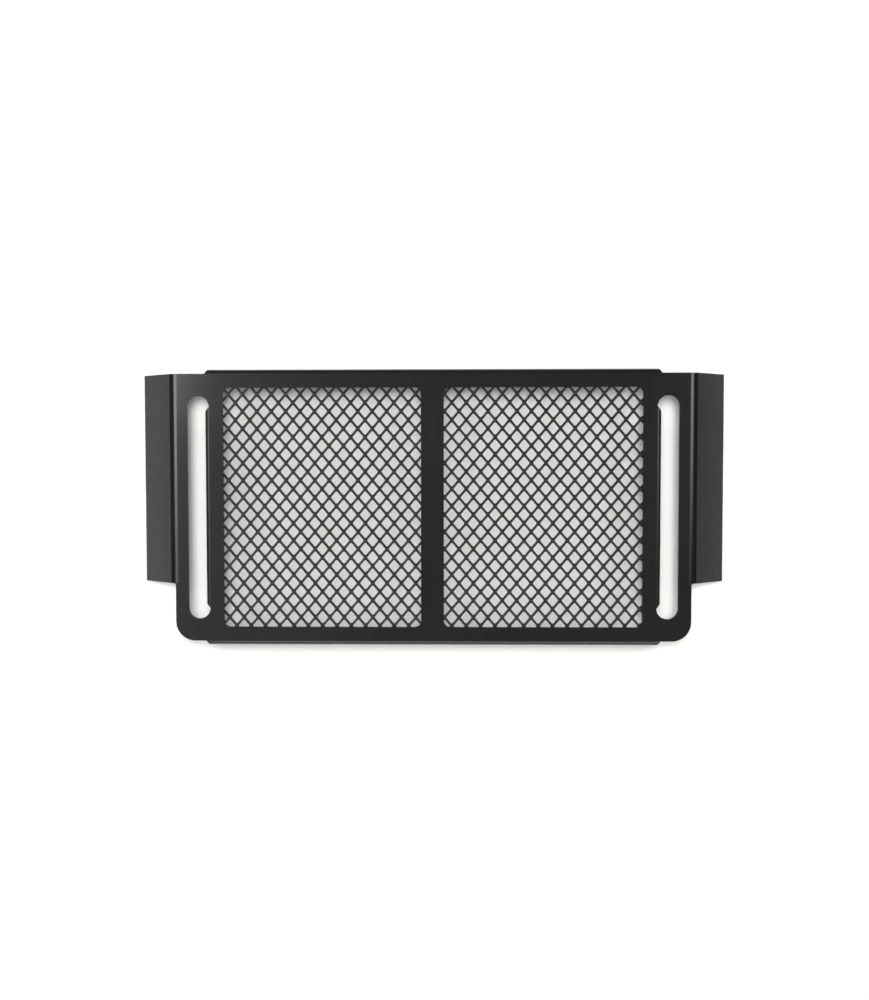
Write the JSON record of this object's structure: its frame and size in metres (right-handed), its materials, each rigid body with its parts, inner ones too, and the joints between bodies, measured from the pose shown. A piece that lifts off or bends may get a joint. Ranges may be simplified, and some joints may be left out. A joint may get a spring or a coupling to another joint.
{
  "type": "motorcycle radiator guard",
  "caption": "Black folded-steel radiator guard for a motorcycle: a shallow tray with diamond mesh windows, slotted ears and side wings bent back.",
  "frame": {"origin": "under the middle of the plate, on the surface that the guard lies on, face up", "axes": "+Z out of the front face, +Y towards the guard's upper edge, X across the guard from wing to wing"},
  "size_m": [0.3834, 0.1796, 0.0167],
  "materials": {
    "frame_paint": "satin black powder coat on steel",
    "mesh_paint": "satin black powder coat on steel mesh"
  },
  "bodies": {
    "root": {"frame": "frame_paint", "mesh_panel": "mesh_paint"}
  },
  "joints": []
}
